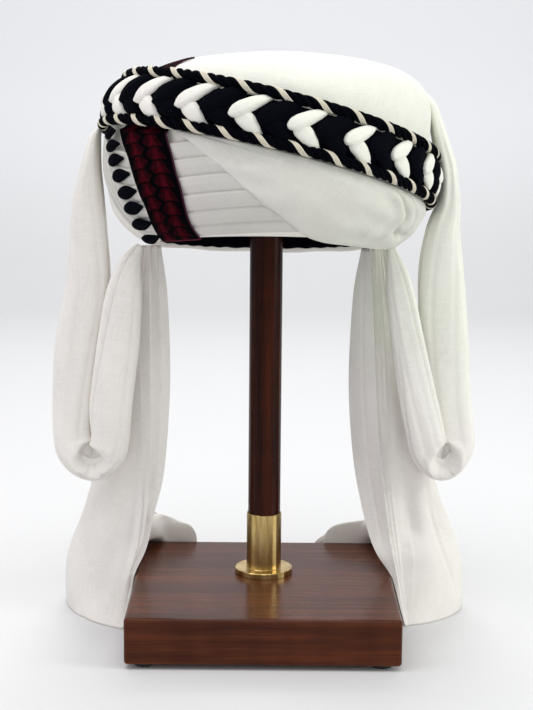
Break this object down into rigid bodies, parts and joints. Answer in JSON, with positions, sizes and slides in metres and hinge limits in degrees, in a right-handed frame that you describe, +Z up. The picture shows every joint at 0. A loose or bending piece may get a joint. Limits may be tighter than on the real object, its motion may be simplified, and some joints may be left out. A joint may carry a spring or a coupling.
{
  "type": "tied turban pagri and stand",
  "caption": "White cloth turban tied on a cap, with a black and white plaited band, side loops and long tails, on a wooden post stand.",
  "frame": {"origin": "on the floor, under the middle of the whole object's bounding box", "axes": "+Z up, -Y towards the front with the pleats and the woven band, +X to the viewer's right"},
  "size_m": [0.383, 0.3395, 0.5171],
  "materials": {
    "white_cloth": "soft off-white cotton",
    "black_cloth": "matte black cotton",
    "brocade": "woven dark red on black",
    "wood": "polished reddish brown hardwood",
    "brass": "brushed and lacquered",
    "rubber": "matte black"
  },
  "bodies": {
    "root": {"base": "wood", "rubber_foot_1": "rubber", "rubber_foot_2": "rubber", "rubber_foot_3": "rubber", "rubber_foot_4": "rubber", "brass_collar": "brass", "post": "wood", "stand_top": "wood", "cap_lining": "black_cloth", "crown_wrap": "white_cloth", "pleated_front": "white_cloth", "diagonal_swathe": "white_cloth", "brocade_band": "brocade", "edge_tab_1": "black_cloth", "edge_tab_2": "black_cloth", "edge_tab_3": "black_cloth", "edge_tab_4": "black_cloth", "edge_tab_5": "black_cloth", "edge_tab_6": "black_cloth", "edge_tab_7": "black_cloth", "edge_tab_8": "black_cloth", "plait": "black_cloth", "upper_cord": "black_cloth", "lower_cord": "black_cloth", "left_loop": "white_cloth", "right_loop": "white_cloth", "left_tail": "white_cloth", "right_tail": "white_cloth"}
  },
  "joints": []
}
